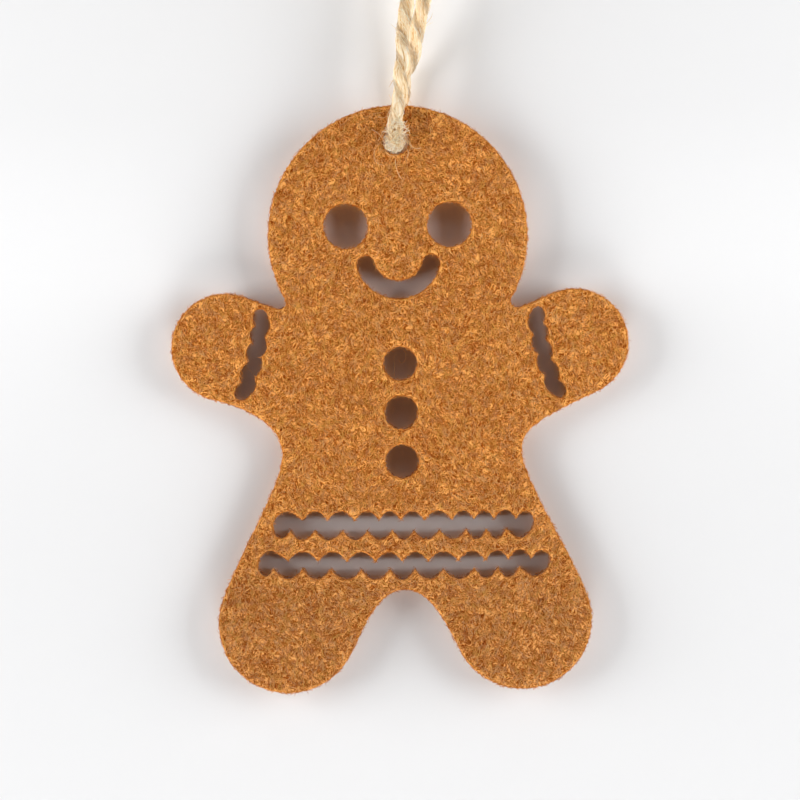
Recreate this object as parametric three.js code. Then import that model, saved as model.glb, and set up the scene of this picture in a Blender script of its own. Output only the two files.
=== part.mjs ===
import * as THREE from "three";

// A flat figure cut from thick felt, hung on a loop of jute twine. Millimetres.
// X runs across the figure, Y from its front face to its back, and Z up.
// The origin is the hanging point, inside the loop just under its knot.

// Gap between pieces that touch
const clearance = 0.3;
// Longest straight facet of a curved edge, and the fewest facets in one curve
const facet = 0.9;
const least_facets = 4;

// Felt sheet
const felt_thickness = 5;

// Loop: from the hanging point down to the centre of the hanging hole
const loop_drop = 80;
const hole_radius = 2.3;
const hole_below_top = 6.1;

// Head, a round disc that runs into each shoulder at a small round notch, the left one cut a little higher
const head_radius = 22.2;
const left_neck_angle = THREE.MathUtils.degToRad(28.4);
const right_neck_angle = THREE.MathUtils.degToRad(29.8);
const notch_radius = 1.2;

// Arms, round ended. Reach is from the middle line to the centre of the hand's arc. The right one hangs a
// little lower and is fuller underneath, where its arc ends sooner.
const arm_reach = 30;
const arm_radius = 9.15;
const left_arm_drop = 18.7;
const right_arm_drop = 18.95;
const arm_rise = THREE.MathUtils.degToRad(17);
const left_arm_turn = THREE.MathUtils.degToRad(75);
const right_arm_turn = THREE.MathUtils.degToRad(65);

// Waist, legs and the arch between the legs
const waist_half_width = 20.5;
const waist_below_head = 37.4;
const leg_spread = 20.1;
const leg_radius = 11.9;
const leg_below_waist = 28.95;
const hip_angle = THREE.MathUtils.degToRad(20);
const inner_leg_angle = THREE.MathUtils.degToRad(152);
const arch_rise = 5.55;

// How far the curves between the arcs keep their first direction, as shares of their span
const shoulder_shares = [0.3, 0.3];
const armpit_shares = [0.6, 0.26];
const hip_shares = [0.17, 0.3];
const arch_shares = [0.3, 0.33];

// Eyes and smile, cut through
const eye_radius = 3.9;
const eye_spread = 8.9;
const eye_above_head = 1.7;
const smile_below_head = 3.5;
const smile_inner_radius = 4.2;
const smile_width = 3.2;
const smile_half_angle = THREE.MathUtils.degToRad(76);

// Three button holes down the chest
const button_count = 3;
const button_radius = 2.95;
const button_gap = 2.5;
const button_below_head = 22;

// Two scalloped belt slots, stacked above the arch. Peak is a scallop's height from the slot's middle
// line, cusp the height of the points between scallops, near_end and far_end how far the round ends run past
// the points next to them, margin the felt left between the slot's end and the edge of the hip, lift how much
// higher its two ends lie than its middle, and tilt its slope down to the right.
const belt_tilt = THREE.MathUtils.degToRad(0.6);
const upper_belt = { peak: 2.5, cusp: 0.95, near_end: 3, far_end: 3, margin: 2.95, lift: 0.15 };
const lower_belt = { peak: 2.4, cusp: 0.75, near_end: 2.7, far_end: 3.3, margin: 3.7, lift: 0.5 };
const belt_strip = 2.05;
const arch_margin = 1.65;
// Hand drawn look: distances from each point to the next, bottom and top in turn, as shares of their mean
const upper_step_shares = [
  1.05, 1, 1.1, 1.25, 1.05, 1.05, 1, 1.1, 0.7, 1.1, 0.9, 1.25, 1.05, 1.2, 0.7, 1, 0.65, 1, 0.9,
];
const lower_step_shares = [
  1.1, 1.05, 1.15, 0.95, 1.2, 1.05, 1.05, 1.05, 0.9, 0.95, 1, 1.1, 1.1, 1.2, 0.8, 0.9, 0.8, 0.8, 0.9,
];

// Cuff slots across the arms, from near the top edge to a wider rim at the lower one. Both bow towards the
// body. A cuff stands on the line between points of the arm's top and lower edges, at these shares of them.
const cuff = { peak: 1.7, cusp: 1.05, near_end: 3.1, far_end: 3.1 };
const cuff_top_rim = 0.8;
const left_cuff_low_rim = 1.25;
const right_cuff_low_rim = 1.7;
const left_cuff_bow = 0.7;
const right_cuff_bow = 0.75;
const cuff_step_shares = [0.85, 0.85, 1.25, 0.85, 1.35, 0.85];
const cuff_top_share = 0.37;
const left_cuff_low_share = 0.19;
const right_cuff_low_share = 0.255;

// What differs between the two sides of the figure
const left_side = {
  neck_angle: left_neck_angle,
  arm_drop: left_arm_drop,
  arm_turn: left_arm_turn,
  cuff_share: left_cuff_low_share,
  cuff_rim: left_cuff_low_rim,
  cuff_bow: left_cuff_bow,
};
const right_side = {
  neck_angle: right_neck_angle,
  arm_drop: right_arm_drop,
  arm_turn: right_arm_turn,
  cuff_share: right_cuff_low_share,
  cuff_rim: right_cuff_low_rim,
  cuff_bow: right_cuff_bow,
};

// Twine: diameter, the bend's radius through the hole, and how far its lowest point is under the hole's centre
const twine_diameter = 2.5;
const twine_sides = 8;
const bend_radius = 4.3;
const bend_sink = 0.75;
const facets_in_bend = 10;
const bight_straight_share = 0.25;
// Longest facet along a strand, counted in diameters
const twine_step_share = 2;
// Height above the hole at which the stiff lower twine ends and the part that can twist begins
const bight_height = 10;
const front_lean = 0.95;
const back_lean = 1.5;

// Knot and its two tails
const knot_width = 11;
const knot_depth = 8;
const knot_height = 9;
const knot_flat_radius = 3;
const knot_above_hang = 3.2;
const knot_sides = 20;
const knot_facets = 5;
const knot_entry = 1.4;

// Routes of the strands between the bight and the knot: X and Y, and the height as a share of that stretch.
// The twine leans to the right above the head and comes back to the middle under the knot.
const strand_ends_share = 0.015;
const front_route_shares = [
  [1.4, -4.1, 0.04],
  [1.5, -3.3, 0.08],
  [1.75, -2.4, 0.13],
  [2.55, -1.8, 0.2],
  [3.3, -1.5, 0.3],
  [3.3, -1.3, 0.42],
  [2.4, -1.1, 0.55],
  [0.7, -0.8, 0.68],
  [-1.4, -0.5, 0.8],
  [-2.6, -0.2, 0.9],
  [-2.5, 0, 0.96],
];
const back_route_shares = [
  [2.6, 4.1, 0.04],
  [3.55, 3.3, 0.08],
  [4.2, 2.5, 0.13],
  [5.4, 1.9, 0.2],
  [6.7, 1.5, 0.3],
  [7.3, 1.3, 0.42],
  [7.1, 1.1, 0.55],
  [6.2, 0.8, 0.68],
  [4.8, 0.5, 0.8],
  [3.3, 0.2, 0.9],
  [2.5, 0, 0.96],
];
// Routes of the tails: X, Y and the height above the knot
const left_tail_route = [
  [-1.5, -0.1, 1.2],
  [-2.6, -0.5, 4],
  [-4.6, -1, 6.6],
  [-6.6, -1.5, 8.4],
];
const right_tail_route = [
  [1.5, 0.1, 1.2],
  [2.1, 0.4, 4.2],
  [3.4, 1, 7.2],
  [4.6, 1.6, 9.6],
];

// Shape of a slot's round end, as shares of its reach and of its scallops' height
const tip_share = 0.1;
const crown_share = 0.12;
const lobe_share = 0.25;
const lobe_depth_share = 1.15;
const tip_round_share = 0.5;

const felt = new THREE.MeshStandardMaterial({ color: 0xbe7838, roughness: 0.95, metalness: 0 });
const jute = new THREE.MeshStandardMaterial({ color: 0xdcc3a0, roughness: 0.9, metalness: 0 });

// Heights of the figure's features
const hole_z = -loop_drop;
const head_z = hole_z + hole_below_top - head_radius;
const waist_z = head_z - waist_below_head;
const leg_z = waist_z - leg_below_waist;
const arch_z = leg_z + arch_rise;

const at = (x, z) => new THREE.Vector2(x, z);
const heading = (angle) => at(Math.cos(angle), Math.sin(angle));

// Points along a curve, and along a chain of curves without its first point
function pointsOf(curve) {
  return curve.getPoints(Math.max(least_facets, Math.ceil(curve.getLength() / facet)));
}

function trace(curves) {
  return curves.flatMap((curve) => pointsOf(curve).slice(1));
}

function arc(x, z, radius, from, to, clockwise) {
  return new THREE.EllipseCurve(x, z, radius, radius, from, to, clockwise);
}

// A smooth curve that leaves one point along a direction and arrives at the other along its own
function bend(from, leaving, to, arriving, shares) {
  const span = from.distanceTo(to);
  const first = from.clone().addScaledVector(leaving, span * shares[0]);
  const second = to.clone().addScaledVector(arriving, -span * shares[1]);
  return new THREE.CubicBezierCurve(from, first, second, to);
}

const up = Math.PI / 2;
const down = at(0, -1);
const leftwards = at(-1, 0);

// Points and curves of the figure's edge on its right half, which the left half mirrors
const waist = at(waist_half_width, waist_z);
const hip = heading(hip_angle).multiplyScalar(leg_radius).add(at(leg_spread, leg_z));
const inner_leg = heading(-inner_leg_angle).multiplyScalar(leg_radius).add(at(leg_spread, leg_z));
const arch = at(0, arch_z);

const hip_curve = bend(waist, down, hip, heading(hip_angle - up), hip_shares);
const arch_curve = bend(inner_leg, heading(-inner_leg_angle - up), arch, leftwards, arch_shares);

// Middle of the notch between the head and a shoulder, and the curve from there to the arm's top
function notchAt(neck_angle) {
  const reach = head_radius + notch_radius;
  return heading(-neck_angle).multiplyScalar(reach).add(at(0, head_z));
}

function shoulderCurve(side) {
  const start = heading(arm_rise - up).multiplyScalar(notch_radius).add(notchAt(side.neck_angle));
  return bend(start, heading(arm_rise), handPoint(side, arm_rise + up), heading(arm_rise), shoulder_shares);
}

// The point of a hand's arc at an angle
function handPoint(side, angle) {
  return heading(angle).multiplyScalar(arm_radius).add(at(arm_reach, head_z - side.arm_drop));
}

// The curve from the end of the hand's arc, under the arm, to the waist
function armpitCurve(side) {
  const leaving = heading(-side.arm_turn - up);
  return bend(handPoint(side, -side.arm_turn), leaving, waist, down, armpit_shares);
}

// Half of the edge, from the top of the head clockwise to the top of the arch
function halfEdge(side) {
  const notch = notchAt(side.neck_angle);
  return trace([
    arc(0, head_z, head_radius, up, -side.neck_angle, true),
    arc(notch.x, notch.y, notch_radius, Math.PI - side.neck_angle, arm_rise - up, false),
    shoulderCurve(side),
    arc(arm_reach, head_z - side.arm_drop, arm_radius, arm_rise + up, -side.arm_turn, true),
    armpitCurve(side),
    hip_curve,
    arc(leg_spread, leg_z, leg_radius, hip_angle, -inner_leg_angle, true),
    arch_curve,
  ]);
}

function figureShape() {
  const right = halfEdge(right_side);
  const left = halfEdge(left_side).map((point) => at(-point.x, point.y));
  return new THREE.Shape([at(0, head_z + head_radius), ...left.slice(0, -1), ...right.reverse()]);
}

function roundHole(x, z, radius) {
  return new THREE.Path(trace([arc(x, z, radius, 0, 2 * Math.PI, false)]));
}

// The smile, part of a ring with round ends
function smileHole() {
  const z = head_z - smile_below_head;
  const outer = smile_inner_radius + smile_width;
  const middle = smile_inner_radius + smile_width / 2;
  const first = -up - smile_half_angle;
  const last = -up + smile_half_angle;
  const cap = (angle, from) => {
    const centre = heading(angle).multiplyScalar(middle).add(at(0, z));
    return arc(centre.x, centre.y, smile_width / 2, from, from + Math.PI, false);
  };
  return new THREE.Path(
    trace([
      arc(0, z, outer, first, last, false),
      cap(last, last),
      arc(0, z, smile_inner_radius, last, first, true),
      cap(first, first + Math.PI),
    ]),
  );
}

// A slot with scalloped sides, along its own line from 0 to length. Its points stand in turn on the
// lower side (-1) and the upper side (1), and between two points of one side bulges a scallop.
function scallopedSlot(slot, length, step_shares, place) {
  const total = step_shares.reduce((sum, share) => sum + share, 0);
  const step = (length - slot.near_end - slot.far_end) / total;
  const points = [{ along: slot.near_end, side: -1 }];
  for (const share of step_shares) {
    const last = points.at(-1);
    points.push({ along: last.along + share * step, side: -last.side });
  }
  const put = (along, height) => at(...place(along, height));

  const scallops = (row) =>
    row.slice(1).map((point, index) => {
      const before = row[index];
      const middle = (before.along + point.along) / 2;
      const crown = point.side * (2 * slot.peak - slot.cusp);
      return new THREE.QuadraticBezierCurve(
        put(before.along, before.side * slot.cusp),
        put(middle, crown),
        put(point.along, point.side * slot.cusp),
      );
    });

  // A round end: from the point nearest the end, through a small lobe and the tip, to the next point
  const roundEnd = (near, far, tip) => {
    const reach = near.along - tip;
    const peak = near.side * slot.peak;
    const tip_at = [tip, near.side * slot.peak * tip_share];
    const crown_at = [near.along - reach * crown_share, -peak];
    const near_at = [near.along, near.side * slot.cusp];
    const far_at = [far.along, far.side * slot.cusp];
    return [
      [near_at, [near.along - reach * lobe_share, peak * lobe_depth_share], [tip, peak], tip_at],
      [tip_at, [tip, -peak * tip_round_share], [tip + reach * tip_round_share, -peak], crown_at],
      [
        crown_at,
        [near.along + reach * crown_share, -peak],
        [far.along - reach * crown_share, far_at[1] - peak * crown_share],
        far_at,
      ],
    ];
  };
  const curves = (pieces) =>
    pieces.map((piece) => new THREE.CubicBezierCurve(...piece.map(([along, height]) => put(along, height))));
  const backwards = (pieces) => pieces.map((piece) => [...piece].reverse()).reverse();

  const lower = points.filter((point) => point.side < 0);
  const upper = points.filter((point) => point.side > 0);
  const start = roundEnd(points[0], points[1], 0);
  const finish = roundEnd(points.at(-1), points.at(-2), length);
  return new THREE.Path(
    trace([
      ...curves(start),
      ...scallops(upper),
      ...curves(upper.at(-1) === points.at(-1) ? finish : backwards(finish)),
      ...scallops([...lower].reverse()),
    ]),
  );
}

// Half the figure's width at a height below the waist, read off the curve of its hip
function halfWidthAt(z) {
  const points = pointsOf(hip_curve);
  const below = points.findIndex((point) => point.y <= z);
  const [high, low] = [points[below - 1], points[below]];
  const share = (high.y - z) / (high.y - low.y);
  return THREE.MathUtils.lerp(high.x, low.x, share);
}

// A belt runs across the hips
function beltHole(belt, z, step_shares) {
  const half = halfWidthAt(z) - belt.margin;
  const along_belt = heading(-belt_tilt);
  return scallopedSlot(belt, 2 * half, step_shares, (along, height) => {
    const point = at(0, z).addScaledVector(along_belt, along - half);
    return [point.x, point.y + height + belt.lift * (along / half - 1) ** 2];
  });
}

// A cuff runs across the arm and stops a rim short of its top and lower edges. The sign is -1 for the left.
function cuffHole(side, sign) {
  const top = shoulderCurve(side).getPoint(cuff_top_share);
  const low = armpitCurve(side).getPoint(side.cuff_share);
  const along_arm = low.clone().sub(top).normalize();
  const outwards = at(-along_arm.y, along_arm.x);
  const length = top.distanceTo(low) - cuff_top_rim - side.cuff_rim;
  return scallopedSlot(cuff, length, cuff_step_shares, (along, height) => {
    const inwards = side.cuff_bow * Math.sin((along / length) * Math.PI);
    const point = top.clone().addScaledVector(along_arm, cuff_top_rim + along);
    point.addScaledVector(outwards, -height - inwards);
    return [sign * point.x, point.y];
  });
}

// The felt figure, one sheet with every opening cut through
function feltFigure() {
  const shape = figureShape();
  const lower_z = arch_z + arch_margin + lower_belt.peak;
  const upper_z = lower_z + lower_belt.peak + belt_strip + upper_belt.peak;
  shape.holes.push(
    roundHole(0, hole_z, hole_radius),
    roundHole(-eye_spread, head_z + eye_above_head, eye_radius),
    roundHole(eye_spread, head_z + eye_above_head, eye_radius),
    smileHole(),
    beltHole(upper_belt, upper_z, upper_step_shares),
    beltHole(lower_belt, lower_z, lower_step_shares),
    cuffHole(left_side, -1),
    cuffHole(right_side, 1),
  );
  for (let index = 0; index < button_count; index += 1) {
    const z = head_z - button_below_head - index * (2 * button_radius + button_gap);
    shape.holes.push(roundHole(0, z, button_radius));
  }
  const sheet = new THREE.ExtrudeGeometry(shape, { depth: felt_thickness, bevelEnabled: false });
  sheet.translate(0, 0, -felt_thickness / 2);
  sheet.rotateX(up);
  return sheet;
}

// Heights along the twine, and the places where its pieces meet
const knot_base_z = knot_above_hang;
const knot_top_z = knot_base_z + knot_height;
const bight_top_z = hole_z + bight_height;
const strand_low_z = bight_top_z + clearance;
const strand_high_z = knot_base_z - clearance;

const spot = (x, y, z) => new THREE.Vector3(x, y, z);

// A tube of twine with flat ends along a smooth route
function twine(route) {
  const path = new THREE.CatmullRomCurve3(route, false, "centripetal");
  const section = new THREE.Shape();
  for (let side = 0; side < twine_sides; side += 1) {
    const corner = heading((side / twine_sides) * 2 * Math.PI).multiplyScalar(twine_diameter / 2);
    if (side === 0) section.moveTo(corner.x, corner.y);
    else section.lineTo(corner.x, corner.y);
  }
  const steps = Math.ceil(path.getLength() / (twine_step_share * twine_diameter));
  return new THREE.ExtrudeGeometry(section, {
    steps: Math.max(steps, route.length),
    extrudePath: path,
    bevelEnabled: false,
  });
}

// The bight: down the front of the head, round through the hanging hole and up the back
function bightRoute() {
  const bend_z = hole_z - bend_sink + bend_radius;
  const straight_z = THREE.MathUtils.lerp(bight_top_z, bend_z, bight_straight_share);
  const points = [spot(front_lean, -bend_radius, bight_top_z), spot(front_lean, -bend_radius, straight_z)];
  for (let index = 0; index <= facets_in_bend; index += 1) {
    const angle = Math.PI * (1 + index / facets_in_bend);
    const turned = heading(angle).multiplyScalar(bend_radius);
    points.push(spot(0, turned.x, bend_z + turned.y));
  }
  points.push(spot(back_lean, bend_radius, straight_z), spot(back_lean, bend_radius, bight_top_z));
  return points;
}

// A strand from the bight up to the underside of the knot, upright at both ends
function strandRoute(low_x, low_y, high_x, route_shares) {
  const rise = (share) => THREE.MathUtils.lerp(strand_low_z, strand_high_z, share);
  return [
    spot(low_x, low_y, strand_low_z),
    spot(low_x, low_y, rise(strand_ends_share)),
    ...route_shares.map(([x, y, share]) => spot(x, y, rise(share))),
    spot(high_x, 0, rise(1 - strand_ends_share)),
    spot(high_x, 0, strand_high_z),
  ];
}

function tailRoute(route) {
  const [x, y] = route[0];
  const low = spot(x, y, knot_top_z + clearance);
  return [low, ...route.map(([px, py, rise]) => spot(px, py, knot_top_z + rise))];
}

// The knot, a barrel with flat ends where the strands come in and the tails go out
function knotBody() {
  const profile = [at(0, 0)];
  for (let index = 0; index <= 2 * knot_facets; index += 1) {
    const turn = (index / knot_facets - 1) * up;
    const bulge = (knot_width / 2 - knot_flat_radius) * Math.cos(turn);
    profile.push(at(knot_flat_radius + bulge, (knot_height / 2) * (1 + Math.sin(turn))));
  }
  profile.push(at(0, knot_height));
  const barrel = new THREE.LatheGeometry(profile, knot_sides);
  barrel.scale(1, 1, knot_depth / knot_width);
  barrel.rotateX(up);
  barrel.translate(0, 0, knot_base_z);
  return barrel;
}

const ornament = new THREE.Group();

function add(name, geometry, material) {
  const mesh = new THREE.Mesh(geometry, material);
  mesh.name = name;
  ornament.add(mesh);
}

add("felt_figure", feltFigure(), felt);
add("twine_bight", twine(bightRoute()), jute);
add(
  "twine_strand_front",
  twine(strandRoute(front_lean, -bend_radius, -knot_entry, front_route_shares)),
  jute,
);
add(
  "twine_strand_back",
  twine(strandRoute(back_lean, bend_radius, knot_entry, back_route_shares)),
  jute,
);
add("twine_knot", knotBody(), jute);
add("twine_tail_left", twine(tailRoute(left_tail_route)), jute);
add("twine_tail_right", twine(tailRoute(right_tail_route)), jute);

export default ornament;
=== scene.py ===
# %% [markdown]
# A Christmas ornament: a flat figure cut by laser from thick ginger-brown felt, hung on a loop of jute twine.
#
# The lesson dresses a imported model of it. The frame gives every piece its real size and place, in metres:
# X runs across the figure, Y from its front face to its back, and Z up. The origin is the point that the loop
# hangs from. What Blender adds is what makes felt look like felt and jute like jute: fibres, in the shader
# where there are thousands to a square centimetre, and as real geometry where they catch the light.

import math

import bpy
import numpy as np
from mathutils import Matrix, Vector, geometry


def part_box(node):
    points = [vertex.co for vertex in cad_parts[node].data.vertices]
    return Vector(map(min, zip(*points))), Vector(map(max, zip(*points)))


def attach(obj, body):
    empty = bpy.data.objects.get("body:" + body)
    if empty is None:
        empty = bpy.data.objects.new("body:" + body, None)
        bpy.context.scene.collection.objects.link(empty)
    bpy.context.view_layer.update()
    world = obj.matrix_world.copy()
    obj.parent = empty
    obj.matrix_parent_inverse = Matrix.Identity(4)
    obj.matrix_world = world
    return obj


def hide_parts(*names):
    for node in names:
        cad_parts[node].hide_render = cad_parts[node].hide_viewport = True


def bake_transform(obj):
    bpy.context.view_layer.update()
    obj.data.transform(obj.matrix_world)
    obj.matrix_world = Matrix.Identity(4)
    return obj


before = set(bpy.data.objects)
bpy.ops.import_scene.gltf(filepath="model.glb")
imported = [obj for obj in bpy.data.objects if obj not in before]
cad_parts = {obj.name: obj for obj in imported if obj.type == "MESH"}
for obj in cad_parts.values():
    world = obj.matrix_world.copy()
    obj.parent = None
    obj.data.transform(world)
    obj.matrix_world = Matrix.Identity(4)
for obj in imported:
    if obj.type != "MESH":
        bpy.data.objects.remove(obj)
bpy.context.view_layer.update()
mm = 0.001
random = np.random.default_rng(12)

# %% [markdown]
# The camera stands almost a metre away, a little above the middle of the figure, with a long lens, so that
# the flat face keeps its proportions. The picture is square. A small roll tips the figure as it hangs in the
# photograph.

# %% Camera
sheet_low, sheet_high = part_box("felt_figure")
camera_target = Vector((-0.17 * mm, sheet_low.y, -124.33 * mm))
camera_distance = 900 * mm
camera_elevation = math.radians(1.9)
camera_roll = math.radians(-1.12)
picture_width = 137.2 * mm
sensor_width = 36.0

camera_data = bpy.data.cameras.new("camera")
camera_data.sensor_width = sensor_width
camera_data.lens = sensor_width * camera_distance / picture_width
camera_data.clip_start = 10 * mm
camera_data.clip_end = 20
camera = bpy.data.objects.new("camera", camera_data)
bpy.context.scene.collection.objects.link(camera)
bpy.context.scene.camera = camera
back = Vector((0, -math.cos(camera_elevation), math.sin(camera_elevation)))
turn = (-back).to_track_quat("-Z", "Y").to_matrix().to_4x4() @ Matrix.Rotation(camera_roll, 4, "Z")
camera.matrix_world = Matrix.Translation(camera_target + camera_distance * back) @ turn
print("camera: lens", round(camera_data.lens, 1), "mm, from", [round(v, 3) for v in camera.location])

# %% [markdown]
# Every piece here is a mesh made from whole numpy arrays: an array of points and an array of faces. One
# helper turns them into an object that sits at the origin, unturned, with its place in its mesh.


# %% Mesh helper
def mesh_object(name, points, faces, **attributes):
    """An object from an (n, 3) array of points and a list of (m, k) arrays of corners, with one float to a
    point for each named attribute."""
    mesh = bpy.data.meshes.new(name)
    mesh.vertices.add(len(points))
    mesh.vertices.foreach_set("co", np.asarray(points, np.float32).ravel())
    widths = np.concatenate([np.full(len(part), part.shape[1]) for part in faces])
    corners = np.concatenate([part.ravel() for part in faces])
    mesh.loops.add(len(corners))
    mesh.loops.foreach_set("vertex_index", corners.astype(np.int32))
    mesh.polygons.add(len(widths))
    starts = np.concatenate([[0], np.cumsum(widths)[:-1]])
    mesh.polygons.foreach_set("loop_start", starts.astype(np.int32))
    mesh.polygons.foreach_set("use_smooth", np.ones(len(widths), bool))
    for attribute, values in attributes.items():
        layer = mesh.attributes.new(attribute, "FLOAT", "POINT")
        layer.data.foreach_set("value", np.asarray(values, np.float32).ravel())
    mesh.update(calc_edges=True)
    piece = bpy.data.objects.new(name, mesh)
    bpy.context.scene.collection.objects.link(piece)
    print(f"{name}: {len(points)} points, {int((widths - 2).sum())} triangles")
    return piece


# %% [markdown]
# Nothing hand made is quite smooth. A value noise gives each surface its slow dents: random numbers stand on
# a lattice, and a point takes a smooth mixture of the eight around it.


# %% Noise helper
lattice_size = 32


def value_noise(points, size, seed):
    """Smooth noise from -1 to 1 at (n, 3) points: random values on a lattice of the given size, mixed by
    3t^2 - 2t^3 along each axis."""
    lattice = np.random.default_rng(seed).uniform(-1, 1, (lattice_size,) * 3)
    scaled = points / size
    cell = np.floor(scaled).astype(int)
    t = scaled - cell
    t = t * t * (3 - 2 * t)
    total = np.zeros(len(points))
    for corner in np.ndindex(2, 2, 2):
        corner = np.array(corner)
        weight = np.prod(np.where(corner == 1, t, 1 - t), axis=1)
        total += weight * lattice[tuple(((cell + corner) % lattice_size).T)]
    return total


# %% [markdown]
# The twine is settled first, because its length is a real one: it leaves the hole, runs up the front and the
# back of the head, and both strands end in one knot. Its points are the route of the frame's own twine. A
# centripetal spline through them makes one smooth line, which is then walked at even steps.

# %% The route of the twine
hole_z = -80 * mm
hole_low_z = hole_z - 2.25 * mm
bend_radius = 4.3 * mm
bend_sink = 0.75 * mm
bend_z = hole_z - bend_sink + bend_radius
bight_top_z = -70 * mm
straight_z = bight_top_z + (bend_z - bight_top_z) / 4
strand_low_z = -69.7 * mm
strand_high_z = 2.9 * mm
strand_ends_share = 0.015
knot_entry = 1.4 * mm
front_lean = 0.95 * mm
back_lean = 1.5 * mm
# Across and depth of the front strand and then of the back one in millimetres, and share of the rise
free_route_shares = np.array([
    (1.4, -4.1, 2.6, 4.1, 0.04),
    (1.5, -3.3, 3.55, 3.3, 0.08),
    (1.75, -2.4, 4.2, 2.5, 0.13),
    (2.55, -1.8, 5.4, 1.9, 0.2),
    (3.3, -1.5, 6.7, 1.5, 0.3),
    (3.3, -1.3, 7.3, 1.3, 0.42),
    (2.4, -1.1, 7.1, 1.1, 0.55),
    (0.7, -0.8, 6.2, 0.8, 0.68),
    (-1.4, -0.5, 4.8, 0.5, 0.8),
    (-2.6, -0.2, 3.3, 0.2, 0.9),
    (-2.5, 0, 2.5, 0, 0.96),
])
bend_points = 6
line_samples = 4000
ring_step = 0.22 * mm
smallest_length = 1e-12


def unit(vectors):
    """Vectors of the same directions and of length one."""
    return vectors / np.maximum(np.linalg.norm(vectors, axis=-1, keepdims=True), smallest_length)


def distance_along(line):
    """How far along a line each of its points lies."""
    return np.concatenate([[0], np.cumsum(np.linalg.norm(np.diff(line, axis=0), axis=1))])


def half_bend(side):
    """A quarter circle from the lowest point of the bend in the hole round to one face, side -1 in front."""
    angles = np.linspace(0, math.pi / 2, bend_points)
    across = side * bend_radius * np.sin(angles)
    return np.stack([0 * angles, across, bend_z - bend_radius * np.cos(angles)], axis=1)


def strand_route(side, lean, entry, shares):
    """The twine from the bottom of the bend, up one face of the head, to the underside of the knot."""
    y = side * bend_radius
    rise = strand_high_z - strand_low_z
    free = [(x * mm, depth * mm, strand_low_z + share * rise) for x, depth, share in shares]
    low = [(lean, y, straight_z), (lean, y, bight_top_z), (lean, y, strand_low_z + strand_ends_share * rise)]
    high = [(entry, 0, strand_high_z - strand_ends_share * rise), (entry, 0, strand_high_z)]
    return np.array([*half_bend(side), *low, *free, *high])


def smooth_line(points, step):
    """A centripetal Catmull-Rom spline through points, walked at even steps of about the given length, and
    its whole length."""
    points = np.array([2 * points[0] - points[1], *points, 2 * points[-1] - points[-2]])
    knots = np.concatenate([[0], np.cumsum(np.sqrt(np.linalg.norm(np.diff(points, axis=0), axis=1)))])
    t = np.linspace(knots[1], knots[-2], line_samples)
    span = np.clip(np.searchsorted(knots, t, side="right") - 1, 1, len(points) - 3)
    p = [points[span + i] for i in (-1, 0, 1, 2)]
    k = [knots[span + i] for i in (-1, 0, 1, 2)]

    def mix(a, b, low, high):
        share = ((t - low) / (high - low))[:, None]
        return a + share * (b - a)

    first = [mix(p[i], p[i + 1], k[i], k[i + 1]) for i in range(3)]
    second = [mix(first[i], first[i + 1], k[i], k[i + 2]) for i in range(2)]
    line = mix(second[0], second[1], k[1], k[2])
    along = distance_along(line)
    even = np.linspace(0, along[-1], max(2, round(along[-1] / step)))
    return np.stack([np.interp(even, along, values) for values in line.T], axis=1), along[-1]


front_route = strand_route(-1, front_lean, -knot_entry, free_route_shares[:, [0, 1, 4]])
back_route = strand_route(1, back_lean, knot_entry, free_route_shares[:, [2, 3, 4]])
front_line, front_length = smooth_line(front_route, ring_step)
back_line, back_length = smooth_line(back_route, ring_step)
print(f"twine: front strand {front_length / mm:.1f} mm, back strand {back_length / mm:.1f} mm")

# %% [markdown]
# Jute twine is two plies twisted round each other. Each ply is a bundle of long flat fibres that lie nearly
# along the twine, because the twist of the twine undoes the twist of the ply. So a ply is a tube whose centre
# winds round the twine's line, and whose skin has fine ridges that run straight on. The ridges come from a
# noise that is long along the twine and short around it. Both strands are worked out as one length of twine
# and parted at the bottom of the bend, so that they meet there without a seam.

# %% Twine
ply_count = 2
ply_sides = 40
ply_pitch = 10 * mm
ply_offset = 0.4 * mm
ply_radius = 0.9 * mm
ridge_height = 0.12 * mm
# Fibres around a ply, how far each runs before it dives under, and its share of the ridges
ridge_layers = ((40, 2.4 * mm, 0.6), (20, 5 * mm, 0.4))
mat_swell = 1.1
mat_reach = 5.5 * mm


def frames_along(line):
    """Tangents of a line, and two directions square to each that turn as little as they can."""
    tangents = unit(np.gradient(line, axis=0))
    side = np.cross(tangents[0], (0.0, 1.0, 0.0))
    sides = []
    for tangent in tangents:
        side = unit(side - tangent * (side @ tangent))
        sides.append(side)
    sides = np.array(sides)
    return tangents, sides, np.cross(tangents, sides)


def turned_from(sides, ups, angle):
    """Directions square to a line, turned by angles from its sides towards its ups."""
    return np.cos(angle) * sides + np.sin(angle) * ups


def tube_faces(rings, sides):
    """Quads between the rings of a tube, and a cap of one face at each end."""
    ring = np.arange(rings - 1)[:, None] * sides
    here = np.arange(sides)[None, :]
    after = (here + 1) % sides
    quads = np.stack([ring + here, ring + after, ring + sides + after, ring + sides + here], axis=-1)
    return quads.reshape(-1, 4), here[:, ::-1], here + (rings - 1) * sides


def fibre_ridges(distance, seed):
    """Ridges from -1 to 1 on a grid of rings and sides: random values that change slowly along the twine and
    at each fibre around it."""
    table = np.random.default_rng(seed)
    ridges = np.zeros((len(distance), ply_sides))
    for count, length, share in ridge_layers:
        steps = distance / length
        cell = np.floor(steps).astype(int)
        t = (steps - cell)[:, None]
        t = t * t * (3 - 2 * t)
        values = table.uniform(-1, 1, (cell.max() + 2, count))
        noise = values[cell] * (1 - t) + values[cell + 1] * t
        ridges += share * np.repeat(noise, ply_sides // count, axis=1)
    return ridges


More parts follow.
